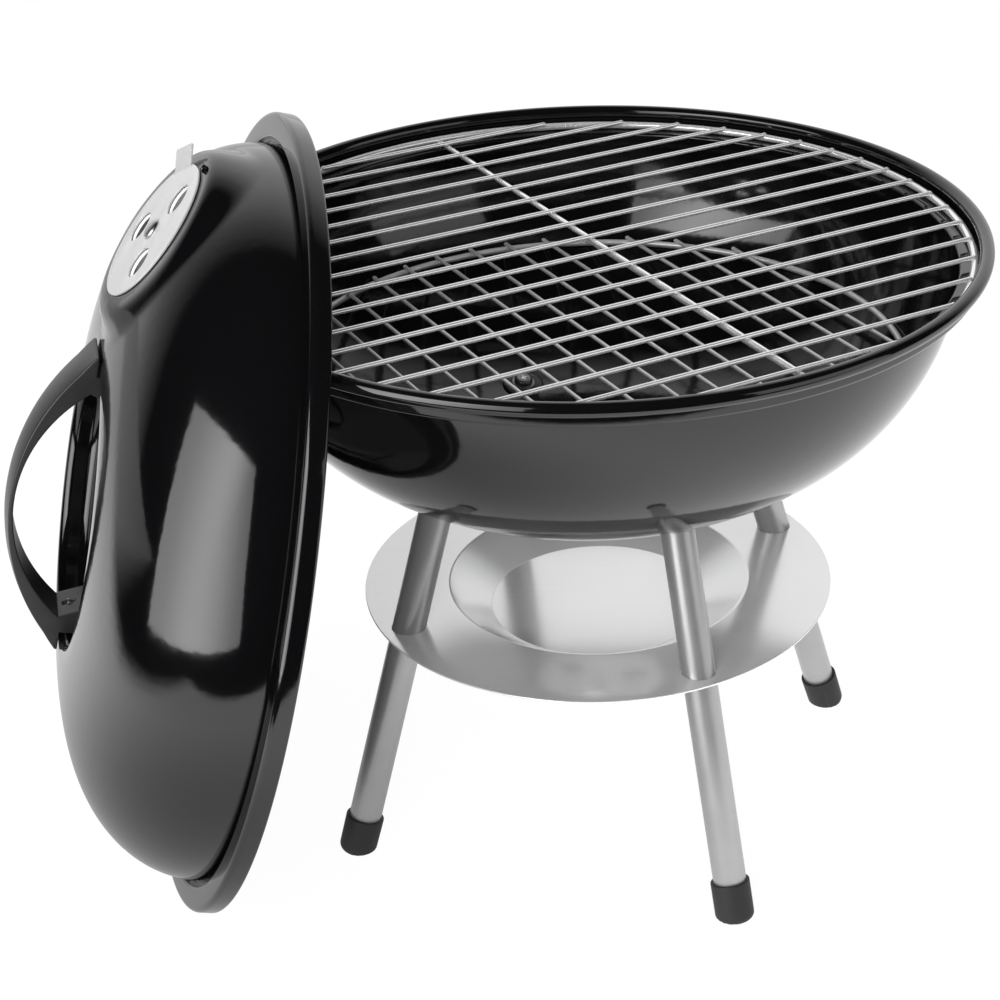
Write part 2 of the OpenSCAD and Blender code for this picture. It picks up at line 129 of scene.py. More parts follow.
def finish(name, fixed, build):
    material = bpy.data.materials.new(name)
    material.use_nodes = True
    material.node_tree.nodes.clear()
    graph = Graph(material.node_tree)
    place = graph.node("ShaderNodeTexCoord")["Object"]
    shader = graph.node("ShaderNodeBsdfPrincipled", None, {**fixed, **build(graph, place)})
    graph.node("ShaderNodeOutputMaterial", None, {"Surface": shader["BSDF"]})
    return material


def bumped(graph, height, strength, distance):
    return graph.node("ShaderNodeBump", None,
                      {"Height": height, "Strength": strength, "Distance": distance})["Normal"]


def enamelLook(graph, place):
    peel = noise(graph, place, 190.0, 1.0)
    smear = noise(graph, stretched(graph, place, (0.3, 0.2, 0.5), (1.0, 1.0, 2.2)), 14.0, 3.0)
    speck = graph.step(noise(graph, place, 1500.0, 1.0), 0.72, 0.8)
    return {
        "Base Color": tinted(graph, speck * 0.5, (0.0022, 0.0022, 0.0025), (0.02, 0.02, 0.02)),
        "Roughness": 0.055 + smear * 0.05 + speck * 0.1,
        "Normal": bumped(graph, peel, 0.05, 0.0006),
    }


def brushedLook(turn, dark, light, rough, along=6.0, across=900.0):
    def build(graph, place):
        lines = noise(graph, stretched(graph, place, (0, 0, turn), (along, across, along)), 1.0, 3.0, 0.6)
        cloud = noise(graph, place, 22.0, 3.0)
        return {
            "Base Color": tinted(graph, lines * 0.6 + cloud * 0.4, dark, light),
            "Roughness": rough + (lines - 0.5) * 0.12 + (cloud - 0.5) * 0.08,
            "Normal": bumped(graph, lines, 0.04, 0.0002),
        }
    return build


def tubeLook(graph, place):
    sweep = graph.node("ShaderNodeUVMap", {"uv_map": "sweep"})["UV"]
    lines = noise(graph, stretched(graph, sweep, (0, 0, 0), (140.0, 2.0, 1.0)), 1.0, 3.0, 0.6)
    cloud = noise(graph, place, 60.0, 3.0)
    pit = graph.step(noise(graph, place, 700.0, 1.0), 0.7, 0.78)
    return {
        "Base Color": tinted(graph, lines * 0.5 + cloud * 0.5, (0.36, 0.36, 0.365), (0.50, 0.50, 0.505)),
        "Roughness": 0.34 + (lines - 0.5) * 0.14 + (cloud - 0.5) * 0.1 + pit * 0.15,
        "Normal": bumped(graph, lines * 0.6 - pit * 0.4, 0.08, 0.0002),
    }


def wireLook(dark, light, rough):
    def build(graph, place):
        cloud = noise(graph, place, 120.0, 3.0)
        scuff = noise(graph, place, 800.0, 2.0)
        return {
            "Base Color": tinted(graph, cloud, dark, light),
            "Roughness": rough + (cloud - 0.5) * 0.12,
            "Normal": bumped(graph, scuff, 0.05, 0.0002),
        }
    return build


def mouldedLook(dark, light, rough, grain, strength):
    def build(graph, place):
        skin = noise(graph, place, grain, 3.0, 0.6)
        cloud = noise(graph, place, 30.0, 3.0)
        return {
            "Base Color": tinted(graph, cloud, dark, light),
            "Roughness": rough + (skin - 0.5) * 0.15 + (cloud - 0.5) * 0.1,
            "Normal": bumped(graph, skin, strength, 0.0004),
        }
    return build


bareMetal, sheetMetal, platedMetal = {"Metallic": 1.0}, {"Metallic": 0.6}, {"Metallic": 0.75}
enamel = finish("black enamel", {"Specular IOR Level": 0.8}, enamelLook)
sheetSteel = finish("brushed sheet steel", sheetMetal,
                    brushedLook(0.0, (0.86, 0.86, 0.865), (0.95, 0.95, 0.955), 0.17))
discSteel = finish("damper steel", sheetMetal,
                   brushedLook(0.6, (0.62, 0.62, 0.625), (0.70, 0.70, 0.705), 0.40))
tubeSteel = finish("satin tube steel", platedMetal, tubeLook)
chromeWire = finish("bright wire", platedMetal, wireLook((0.78, 0.78, 0.785), (0.88, 0.88, 0.885), 0.18))
coalWire = finish("dull wire", platedMetal, wireLook((0.62, 0.62, 0.63), (0.76, 0.76, 0.77), 0.30))
zinc = finish("plated fastener", bareMetal, wireLook((0.50, 0.50, 0.50), (0.66, 0.66, 0.66), 0.30))
rubber = finish("foot rubber", {},
                mouldedLook((0.010, 0.010, 0.0105), (0.017, 0.017, 0.0175), 0.58, 900.0, 0.25))
plastic = finish("handle plastic", {},
                 mouldedLook((0.011, 0.011, 0.0115), (0.018, 0.018, 0.0185), 0.36, 1400.0, 0.12))
print("finishes made")


# helpers for meshes, sections and cuts
def newObject(name, mesh):
    made = bpy.data.objects.new(name, mesh)
    bpy.context.scene.collection.objects.link(made)
    return made


def shownMesh(made):
    bpy.context.view_layer.update()
    return bpy.data.meshes.new_from_object(made.evaluated_get(bpy.context.evaluated_depsgraph_get()))


def settle(made):
    # the shown result becomes a plain mesh and its modifiers go
    mesh = shownMesh(made)
    made.modifiers.clear()
    made.data = mesh
    mesh.name = made.name
    return made


def grown(made, tree, values):
    # one geometry tree on an object, its inputs set by identifier
    modifier = made.modifiers.new(tree.name, "NODES")
    modifier.node_group = tree
    for item in tree.interface.items_tree:
        if item.in_out == "INPUT" and item.name in values:
            modifier[item.identifier] = values[item.name]
    return settle(made)


def newTree(name, sockets):
    tree = bpy.data.node_groups.new(name, "GeometryNodeTree")
    kinds = {"Geometry": "NodeSocketGeometry", "Material": "NodeSocketMaterial", "Object": "NodeSocketObject"}
    for socket in ("Geometry",) + sockets:
        kind = kinds.get(socket, "NodeSocketInt" if socket in ("Steps", "Count") else "NodeSocketFloat")
        tree.interface.new_socket(socket, in_out="INPUT", socket_type=kind)
    tree.interface.new_socket("Geometry", in_out="OUTPUT", socket_type="NodeSocketGeometry")
    graph = Graph(tree)
    return tree, graph, graph.node("NodeGroupInput")


def closeTree(graph, given, geometry):
    whole = graph.node("GeometryNodeRealizeInstances", None, {"Geometry": geometry})["Geometry"]
    smooth = graph.node("GeometryNodeSetShadeSmooth", None, {"Geometry": whole})["Geometry"]
    if "Material" in given.made.outputs:
        smooth = graph.node("GeometryNodeSetMaterial", None,
                            {"Geometry": smooth, "Material": given["Material"]})["Geometry"]
    graph.node("NodeGroupOutput", None, {"Geometry": smooth})


def turningTree():
    # a section drawn as a chain of points in XZ is swept round Z
    tree, graph, given = newTree("turning", ("Steps", "Material"))
    count = graph.node("GeometryNodeAttributeDomainSize", {"component": "MESH"},
                       {"Geometry": given["Geometry"]})["Point Count"]
    size = {"Size X": 1.0, "Size Y": 1.0, "Vertices X": count, "Vertices Y": given["Steps"] + 1}
    grid = graph.node("GeometryNodeMeshGrid", None, size)["Mesh"]
    spot = graph.node("ShaderNodeSeparateXYZ", None, {0: graph.node("GeometryNodeInputPosition")["Position"]})
    index = ((spot["X"] + 0.5) * (count - 1)).calc("ROUND")
    angle = (spot["Y"] + 0.5) * (2 * math.pi)
    here = graph.node("GeometryNodeInputPosition")["Position"]
    section = graph.node("GeometryNodeSampleIndex", {"data_type": "FLOAT_VECTOR", "domain": "POINT"},
                         {"Geometry": given["Geometry"], "Value": here, "Index": index})["Value"]
    part = graph.node("ShaderNodeSeparateXYZ", None, {0: section})
    sweep = graph.node("ShaderNodeCombineXYZ", None, {"X": spot["Y"] + 0.5, "Y": part["Z"]})["Vector"]
    mapped = graph.node("GeometryNodeStoreNamedAttribute", {"data_type": "FLOAT2", "domain": "CORNER"},
                        {"Geometry": grid, "Name": "sweep", "Value": sweep})["Geometry"]
    place = graph.node("ShaderNodeCombineXYZ", None,
                       {"X": part["X"] * angle.calc("COSINE"), "Y": part["X"] * angle.calc("SINE"),
                        "Z": part["Z"]})["Vector"]
    swept = graph.node("GeometryNodeSetPosition", None, {"Geometry": mapped, "Position": place})["Geometry"]
    merged = graph.node("GeometryNodeMergeByDistance", None,
                        {"Geometry": swept, "Distance": 2e-6})["Geometry"]
    closeTree(graph, given, merged)
    return tree


def placed(graph, given, geometry):
    # lifted to its height and turned about Z
    up = graph.node("ShaderNodeCombineXYZ", None, {"Z": given["Height"]})["Vector"]
    turn = graph.node("ShaderNodeCombineXYZ", None, {"Z": given["Turn"]})["Vector"]
    return graph.node("GeometryNodeTransform", None,
                      {"Geometry": geometry, "Translation": up, "Rotation": turn})["Geometry"]


def wireRowTree():
    # straight wires side by side, each ending on one circle, with a weld nugget at each end
    sizes = ("Count", "Pitch", "Radius", "Reach", "Nugget", "Height", "Turn")
    tree, graph, given = newTree("wire row", sizes + ("Material",))
    line = graph.node("GeometryNodeMeshLine", {"mode": "OFFSET"},
                      {"Count": given["Count"], "Offset": (0, 0, 0)})["Mesh"]
    index = graph.node("GeometryNodeInputIndex")["Index"]
    across = (index - (given["Count"] - 1) * 0.5) * given["Pitch"]
    half = (given["Reach"] * given["Reach"] - across * across).calc("SQRT")
    beside = graph.node("ShaderNodeCombineXYZ", None, {"Y": across})["Vector"]
    spread = graph.node("GeometryNodeSetPosition", None, {"Geometry": line, "Position": beside})
    stick = graph.node("GeometryNodeCurvePrimitiveLine", {"mode": "POINTS"},
                       {"Start": (-1, 0, 0), "End": (1, 0, 0)})["Curve"]
    size = graph.node("ShaderNodeCombineXYZ", None, {"X": half, "Y": 1.0, "Z": 1.0})["Vector"]
    sticks = graph.node("GeometryNodeInstanceOnPoints", None,
                        {"Points": spread["Geometry"], "Instance": stick, "Scale": size})["Instances"]
    lines = graph.node("GeometryNodeRealizeInstances", None, {"Geometry": sticks})["Geometry"]
    circle = graph.node("GeometryNodeCurvePrimitiveCircle", None,
                        {"Resolution": 16, "Radius": given["Radius"]})["Curve"]
    wires = graph.node("GeometryNodeCurveToMesh", None,
                       {"Curve": lines, "Profile Curve": circle, "Fill Caps": True})["Mesh"]
    ball = graph.node("GeometryNodeMeshUVSphere", None,
                      {"Segments": 12, "Rings": 8, "Radius": given["Nugget"]})["Mesh"]
    ends = graph.node("GeometryNodeCurveEndpointSelection")["Selection"]
    flattened = {"Points": lines, "Selection": ends, "Instance": ball, "Scale": (1.0, 1.0, 0.8)}
    balls = graph.node("GeometryNodeInstanceOnPoints", None, flattened)["Instances"]
    both = graph.node("GeometryNodeJoinGeometry")
    for piece in (wires, balls):
        tree.links.new(piece.socket, both.made.inputs[0])
    closeTree(graph, given, placed(graph, given, both["Geometry"]))
    return tree


def hoopTree():
    # a wire bent to a circle, with the small swelling of its butt weld
    tree, graph, given = newTree("hoop", ("Steps", "Middle", "Radius", "Height", "Turn", "Material"))
    path = graph.node("GeometryNodeCurvePrimitiveCircle", None,
                      {"Resolution": given["Steps"], "Radius": given["Middle"]})["Curve"]
    circle = graph.node("GeometryNodeCurvePrimitiveCircle", None,
                        {"Resolution": 20, "Radius": given["Radius"]})["Curve"]
    along = graph.node("GeometryNodeSplineParameter")["Factor"]
    near = graph.step((along - 0.5).calc("ABSOLUTE"), 0.0, 0.004, 1.12, 1.0)
    swollen = graph.node("GeometryNodeSetCurveRadius", None, {"Curve": path, "Radius": near})["Curve"]
    ring = graph.node("GeometryNodeCurveToMesh", None, {"Curve": swollen, "Profile Curve": circle})["Mesh"]
    closeTree(graph, given, placed(graph, given, ring))
    return tree


def scatterTree():
    # one piece repeated on points, each point carrying the turn of its copy
    tree, graph, given = newTree("scatter", ("Object",))
    source = graph.node("GeometryNodeObjectInfo", {"transform_space": "ORIGINAL"},
                        {"Object": given["Object"], "As Instance": True})["Geometry"]
    facing = graph.node("GeometryNodeInputNamedAttribute", {"data_type": "FLOAT_VECTOR"},
                        {"Name": "facing"})["Attribute"]
    copies = graph.node("GeometryNodeInstanceOnPoints", None,
                        {"Points": given["Geometry"], "Instance": source, "Rotation": facing})["Instances"]
    closeTree(graph, given, copies)
    return tree


turning, wireRow, hoop, scatter = turningTree(), wireRowTree(), hoopTree(), scatterTree()


def chainMesh(name, points, loose=False):
    mesh = bpy.data.meshes.new(name)
    edges = [] if loose else [(i, i + 1) for i in range(len(points) - 1)]
    mesh.from_pydata(points, edges, [])
    return mesh


def outward(made, merge=2e-6, sharp=38.0):
    # doubles merged, faces turned outwards, only real corners left sharp
    work = bmesh.new()
    work.from_mesh(made.data)
    bmesh.ops.remove_doubles(work, verts=work.verts, dist=merge)
    bmesh.ops.dissolve_degenerate(work, edges=work.edges, dist=1e-7)
    bmesh.ops.recalc_face_normals(work, faces=work.faces)
    work.to_mesh(made.data)
    work.free()
    made.data.polygons.foreach_set("use_smooth", [True] * len(made.data.polygons))
    made.data.set_sharp_from_angle(angle=math.radians(sharp))
    return made


def turned(name, section, steps, material, place=None):
    # section: (radius, height) in millimetres, round a closed wall or from pole to pole
    chain = chainMesh(name, [(r * mm, 0, z * mm) for r, z in section])
    made = grown(newObject(name, chain), turning, {"Steps": steps, "Material": material})
    outward(made)
    if place is not None:
        made.data.transform(place)
    return made


def rounded(corners, steps=6):
    # corners are (x, y, radius): each is replaced by an arc of that radius
    path = []
    last = len(corners) - 1
    for i, (x, y, radius) in enumerate(corners):
        if radius == 0 or i in (0, last):
            path.append((x, y))
            continue
        here = Vector((x, y))
        back = (Vector(corners[i - 1][:2]) - here).normalized()
        ahead = (Vector(corners[i + 1][:2]) - here).normalized()
        half = back.angle(ahead) / 2
        reach = radius / math.tan(half)
        centre = here + (back + ahead).normalized() * (radius / math.sin(half))
        start, end = here + back * reach - centre, here + ahead * reach - centre
        swing = start.angle_signed(end)
        for k in range(steps + 1):
            angle = swing * k / steps
            path.append((centre.x + start.x * math.cos(angle) + start.y * math.sin(angle),
                         centre.y - start.x * math.sin(angle) + start.y * math.cos(angle)))
    return path


def arc(x, y, radius, start, end, steps):
    angles = [math.radians(start + (end - start) * k / steps) for k in range(steps + 1)]
    return [(x + radius * math.cos(a), y + radius * math.sin(a)) for a in angles]


def joined(name, pieces):
    work = bmesh.new()
    for piece in pieces:
        work.from_mesh(piece.data)
    made = newObject(name, bpy.data.meshes.new(name))
    work.to_mesh(made.data)
    work.free()
    for material in pieces[0].data.materials:
        made.data.materials.append(material)
    for piece in pieces:
        bpy.data.objects.remove(piece)
    return made


def rod(radius, low, high, steps=48):
    return turned("cutter", [(0, low), (radius, low), (radius, high), (0, high)], steps, None)


def combined(made, tool, operation):
    modifier = made.modifiers.new("join", "BOOLEAN")
    modifier.operation = operation
    modifier.solver = "EXACT"
    modifier.object = tool
    settle(made)
    bpy.data.objects.remove(tool)
    return made


def scattered(name, source, spots):
    # spots: (place, turn) for each copy, in metres and radians
    chain = chainMesh(name, [tuple(place) for place, turn in spots], loose=True)
    facing = chain.attributes.new("facing", "FLOAT_VECTOR", "POINT")
    for i, (place, turn) in enumerate(spots):
        facing.data[i].vector = turn
    made = grown(newObject(name, chain), scatter, {"Object": source})
    bpy.data.objects.remove(source)
    return made


def onBody(made, body, slot, *nodes):
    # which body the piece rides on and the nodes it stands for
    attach(made, body)
    if nodes:
        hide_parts(*nodes)
    return made


def turnZ(degrees):
    return Matrix.Rotation(math.radians(degrees), 4, "Z")


def shift(x, y, z):
    return Matrix.Translation((x * mm, y * mm, z * mm))


# bowl: its sizes are in millimetres and degrees, like all that follow
bowl = {
    "rimR": 184.0, "rimZ": 297.0, "beadR": 3.3, "sheet": 1.2, "ledgeZ": 289.5, "ledgeR": 178.6,
    "wallR": 169.6, "depth": 107.5, "downPower": 1.77, "outPower": 3.05, "wallFrom": 6.0, "wallTo": 4.0,
    "seatR": 35.0, "floorRings": (0, 12, 24, 33), "steps": 288, "padR": 10.5, "padProud": 1.4,
    "ventR": 7.0, "ventRing": 19.0, "ventTurn": -100.0, "rivetR": 2.5, "discR": 32.0,
}
legs = {
    "turn": 26.0, "spread": 138.4, "splay": 16.9, "radius": 8.0, "wall": 1.2, "floor": 7.0, "padOut": 195.669,
}
screwR, screwGap = 2.5, 0.06
bowlFloor = bowl["ledgeZ"] - bowl["depth"]
padIn = legs["padOut"] + 2 * bowl["padProud"] + bowl["sheet"]


def bowlWall(inset, steps=40):
    points = []
    for k in range(steps + 1):
        a = math.pi / 2 * (k / steps)
        r = (bowl["wallR"] - inset) * math.cos(a) ** (2 / bowl["outPower"]) if k < steps else 0.0
        z = bowl["ledgeZ"] - (bowl["depth"] - inset) * math.sin(a) ** (2 / bowl["downPower"])
        points.append((r, z))
    return points


def bowlSection():
    # up the outside from the middle, round the rolled rim, and back down the inside
    b = bowl
    floorZ, sheet = bowlFloor, b["sheet"]
    beadX, outer = b["rimR"] - b["beadR"], b["ledgeR"] + b["sheet"]
    wallFrom, wallTo = b["seatR"] + b["wallFrom"], b["ledgeZ"] - b["wallTo"]
    wall = [p for p in bowlWall(0) if wallFrom < p[0] and p[1] < wallTo][::-1]
    path = [(r, floorZ) for r in b["floorRings"]] + [(b["seatR"] + 1, floorZ + 0.12)] + wall
    under = b["ledgeZ"] - sheet
    ledge = [(b["wallR"], under, 1.4), (outer, under, 1.8), (outer, b["rimZ"] - 3.2, 0)]
    path += rounded([(*wall[-1], 0)] + ledge)[1:]
    # the bead runs from where the sheet meets it outside, over the top, to where it meets the inside
    path += arc(beadX, b["rimZ"], b["beadR"], -104, 229, 26)
    inner = [p for p in bowlWall(sheet) if p[1] < wallTo and p[0] > wallFrom]
    path += rounded([(b["ledgeR"], b["rimZ"] - 2.6, 0), (b["ledgeR"], b["ledgeZ"], 1.0),
                     (b["wallR"] - sheet, b["ledgeZ"], 1.5), (*inner[0], 0)])
    path += inner[1:] + [(b["seatR"] + 1, floorZ + sheet + 0.1)]
    path += [(r, floorZ + sheet) for r in reversed(b["floorRings"])]
    return path


def legSpots():
    spots = []
    for i in range(4):
        a = math.radians(legs["turn"] + 90 * i)
        place = (legs["spread"] * mm * math.cos(a), legs["spread"] * mm * math.sin(a), 0)
        spots.append((place, (0, -math.radians(legs["splay"]), a)))
    return spots


def ventCutters(b, low, high, place=None):
    cutters = [rod(b["rivetR"], low, high, 32)]
    for k in range(3):
        hole = rod(b["ventR"], low, high, 64)
        hole.data.transform(turnZ(b["ventTurn"] + 120 * k) @ shift(b["ventRing"], 0, 0))
        cutters.append(hole)
    made = joined("cutters", cutters)
    if place is not None:
        made.data.transform(place)
    return made


def makeBowl():
    made = turned("bowlShell", bowlSection(), bowl["steps"], enamel)
    padOut, padR = legs["padOut"], bowl["padR"]
    corners = [(0, padOut, 0), (padR, padOut, 1.0), (padR, padIn, 1.0), (0, padIn, 0)]
    pad = turned("pad", rounded(corners), 64, enamel)
    combined(made, scattered("pads", pad, legSpots()), "UNION")
    holes = scattered("screwHoles", rod(screwR + screwGap, padOut - 2, padIn + 2, 32), legSpots())
    combined(made, holes, "DIFFERENCE")
    combined(made, ventCutters(bowl, bowlFloor - 2, bowlFloor + 3), "DIFFERENCE")
    return onBody(outward(made), "stand", "black_enamel", "bowl")


makeBowl()
print("bowl made")


# leg tubes, foot caps, plugs and fasteners
foot = {"height": 18.0, "wall": 1.4, "gap": 0.05, "round": 4.0}
plug = {"flange": 3.0, "over": 0.6, "depth": 20.0, "boreDepth": 17.0}
legScrew = {"length": 15.0, "headR": 4.6, "headH": 2.8, "washerR": 6.0, "washerH": 1.0, "cross": (2.2, 1.4)}
legTop = legs["padOut"] - plug["flange"]


def makeLegs():
    outer, inner = legs["radius"], legs["radius"] - legs["wall"]
    section = rounded([(inner, legs["floor"], 0), (outer, legs["floor"], 0.3), (outer, legTop, 0.35),
                       (inner, legTop, 0.3), (inner, legs["floor"], 0)], 3)
    tube = turned("tube", section, 64, tubeSteel)
    names = ["leg_1", "leg_2", "leg_3", "leg_4"]
    onBody(scattered("legTubes", tube, legSpots()), "stand", "satin_steel", *names)


def makeFeet():
    outer = legs["radius"] + foot["gap"] + foot["wall"]
    inner = legs["radius"] + foot["gap"]
    low = -outer * math.tan(math.radians(legs["splay"]))
    section = rounded([(0, low, 0), (outer, low, foot["round"]), (outer, foot["height"], 0.7),
                       (inner, foot["height"], 0.3), (inner, legs["floor"], 0), (0, legs["floor"], 0)], 8)
    cap = turned("cap", section, 72, rubber)
    made = scattered("footCaps", cap, legSpots())
    for v in made.data.vertices:
        v.co.z = max(v.co.z, 0.0)
    outward(made, 1e-6, 50.0)
    onBody(made, "stand", "black_rubber", "foot_cap_1", "foot_cap_2", "foot_cap_3", "foot_cap_4")


def makeLegTops():
    low, high, bored = legTop - plug["depth"], legTop + plug["flange"], legTop - plug["boreDepth"]
    bore = legs["radius"] - legs["wall"] - foot["gap"]
    rim, hole = legs["radius"] + plug["over"], screwR + screwGap
    section = rounded([(hole, bored, 0), (hole, high, 0.2), (rim, high, 0.8), (rim, legTop, 0.5),
                       (bore, legTop, 0), (bore, low, 0.5), (0, low, 0), (0, bored, 0), (hole, bored, 0)], 4)
    onBody(scattered("legPlugs", turned("plug", section, 48, plastic), legSpots()),
          "stand", "black_plastic", "leg_plugs")
    sizes = legScrew
    edge, headZ = sizes["washerR"], padIn + sizes["washerH"]
    section = rounded([(hole, padIn, 0), (hole, headZ, 0.15), (edge, headZ, 0.3), (edge, padIn, 0.15),
                       (hole, padIn, 0)], 3)
    onBody(scattered("legWashers", turned("washer", section, 48, zinc), legSpots()),
          "stand", "zinc_steel", "leg_washers")
    tip, top, headR = headZ - sizes["length"], headZ + sizes["headH"], sizes["headR"]
    section = rounded([(0, tip, 0), (screwR, tip, 0.6), (screwR, headZ, 0), (headR, headZ, 0.25),
                       (headR, top, 1.6), (0, top, 0)], 6)
    screw = turned("screw", section, 48, zinc)
    crossCut(screw, top, *sizes["cross"])
    onBody(scattered("legScrews", screw, legSpots()), "stand", "zinc_steel", "leg_screws")


def crossCut(screw, top, reach, depth):
    # the cross recess of a screw head, tapering towards its bottom
    for turn in (0, 90):
        work = bmesh.new()
        bmesh.ops.create_cube(work, size=1.0)
        for v in work.verts:
            narrow = 0.45 if v.co.z < 0 else 1.0
            x, z = v.co.x * 2 * reach * narrow, top + v.co.z * 2 * depth
            v.co = Vector((x * mm, v.co.y * 0.9 * mm, z * mm))
        blade = newObject("blade", bpy.data.meshes.new("blade"))
        work.to_mesh(blade.data)
        work.free()
        blade.data.transform(turnZ(turn))
        combined(screw, blade, "DIFFERENCE")
    outward(screw)


makeLegs()
makeFeet()
makeLegTops()
print("legs made")


# ash tray: a flat disc with a pressed well
tray = {"radius": 116.0, "top": 118.5, "sheet": 1.0, "wellTop": 75.0, "wellFloor": 55.0, "wellDepth": 15.0,
        "rings": (105.0, 95.0, 85.0), "holeGap": 0.2, "holeSpan": (60.0, 170.0), "steps": 288}


def makeTray():
    t = tray
    top, under, floorZ = t["top"], t["top"] - t["sheet"], t["top"] - t["wellDepth"]
    bend = t["wellTop"] - 0.4
    upper = [(0, floorZ + t["sheet"], 0), (t["wellFloor"] - 1.2, floorZ + t["sheet"], 1.0), (bend, top, 3.4)]
    upper += [(x, top, 0) for x in reversed(t["rings"])] + [(t["radius"], top, 0.35)]
    lower = [(t["radius"], under, 0.35)] + [(x, under, 0) for x in t["rings"]]
    lower += [(bend, under, 2.4), (t["wellFloor"], floorZ, 2.0), (0, floorZ, 0)]
    made = turned("ashTray", rounded(upper + lower, 8), t["steps"], sheetSteel)
    holes = scattered("trayHoles", rod(legs["radius"] + t["holeGap"], *t["holeSpan"], 72), legSpots())
    combined(made, holes, "DIFFERENCE")
    onBody(outward(made), "stand", "brushed_steel", "ash_tray")


makeTray()
print("ash tray made")


# cooking grate and charcoal grate
cooking = {
    "Count": 18, "Pitch": 19.15, "Radius": 1.1, "Reach": 174.5, "Nugget": 1.5, "Height": 293.3, "Turn": 28.2,
}
cookingHoop = {"Middle": 175.3, "Radius": 1.8, "Height": 291.5, "Turn": 160.0, "Steps": 288}
support = {"Radius": 1.3, "Offset": 7.0, "Height": 291.0, "Reach": 173.9}
coal = {
    "Count": 14, "Pitch": 19.6, "Radius": 1.0, "Reach": 148.6, "Nugget": 1.25, "Height": 239.0, "Turn": 118.2,
}
coalHoop = {"Middle": 147.6, "Radius": 1.6, "Height": 236.5, "Turn": 75.0, "Steps": 240}


def inMetres(sizes):
    plain = ("Count", "Steps")
    return {k: v if k in plain else math.radians(v) if k == "Turn" else v * mm for k, v in sizes.items()}


def makeGrates():
    empty = bpy.data.meshes.new("empty")
    for name, tree, sizes, material, node in (
        ("cookingHoop", hoop, cookingHoop, chromeWire, "cooking_grate_ring"),
        ("cookingBars", wireRow, cooking, chromeWire, "cooking_grate_bars"),
        ("coalHoop", hoop, coalHoop, coalWire, "charcoal_grate_ring"),
        ("coalWires", wireRow, coal, coalWire, "charcoal_grate_wires"),
    ):
        made = grown(newObject(name, empty.copy()), tree, {**inMetres(sizes), "Material": material})
        slot = "bright_chrome" if material is chromeWire else "dull_wire"
        onBody(made, node.rpartition("_")[0], slot, node)
    half = math.sqrt(support["Reach"] ** 2 - support["Offset"] ** 2)
    wire = turned("supportWire", rounded([(0, -half, 0), (support["Radius"], -half, 0.4),
                                          (support["Radius"], half, 0.4), (0, half, 0)], 3), 24, chromeWire)
    place = turnZ(cooking["Turn"]) @ shift(support["Offset"], 0, support["Height"])
    wire.data.transform(place @ Matrix.Rotation(math.radians(-90), 4, "X"))
    onBody(wire, "cooking_grate", "bright_chrome", "cooking_grate_support")


makeGrates()
print("grates made")


# lid: it stands on its own edge and leans on the bowl's rim
lid = {
    "lean": 15.3, "heading": 193.0, "out": 171.824, "radius": 186.0, "lipH": 8.0, "beadR": 1.2, "sheet": 1.2,
    "domeR": 171.5, "domeH": 69.0, "outPower": 3.583, "upPower": 1.936, "grooveR": 175.5, "grooveZ": 2.5,
    "dishR": 68.0, "dishDepth": 14.0, "dishFillet": 5.0, "dishFlare": 4.0, "dishRings": (0, 20, 40, 55),
    "seatOut": 132.5, "seatTilt": 27.0, "seatSink": 1.5, "seatEnd": 56.0, "pressed": (35.8, 41.5),
    "drawn": (39.0, 52.0), "stopR": 1.8, "stopH": 2.2, "stopRing": 36.7, "stopTurn": -98.0,
    "ventR": 7.5, "ventRing": 18.5, "ventTurn": -100.0, "rivetR": 2.5, "discR": 33.5, "steps": 324,
}
lidLow = ((lid["radius"] - lid["beadR"]) * math.cos(math.radians(lid["lean"]))
          + lid["beadR"] * (1 - math.sin(math.radians(lid["lean"]))))
heading = math.radians(lid["heading"])
atLid = (shift(lid["out"] * math.cos(heading), lid["out"] * math.sin(heading), lidLow)
         @ turnZ(lid["heading"] - 270) @ Matrix.Rotation(math.radians(90 - lid["lean"]), 4, "X"))


def domeZ(r):
    return lid["lipH"] + lid["domeH"] * (1 - (r / lid["domeR"]) ** lid["outPower"]) ** (1 / lid["upPower"])


atSeat = (shift(0, lid["seatOut"], domeZ(lid["seatOut"]) - lid["seatSink"])
          @ Matrix.Rotation(math.radians(-lid["seatTilt"]), 4, "X") @ turnZ(180))
dishEdge = domeZ(lid["dishR"] + lid["dishFlare"])
dishZ = dishEdge - lid["dishDepth"]


def domeCurve(inset, low, high, steps):
    # the dome's meridian from radius low to high, evenly spaced enough for a smooth highlight
    points = []
    for k in range(steps + 1):
        a = math.pi / 2 * k / steps
        r = (lid["domeR"] - inset) * math.sin(a) ** (2 / lid["outPower"])
        z = lid["lipH"] + (lid["domeH"] - inset) * max(math.cos(a), 0.0) ** (2 / lid["upPower"])
        if low < r <= high:
            points.append((r, z))
    return points


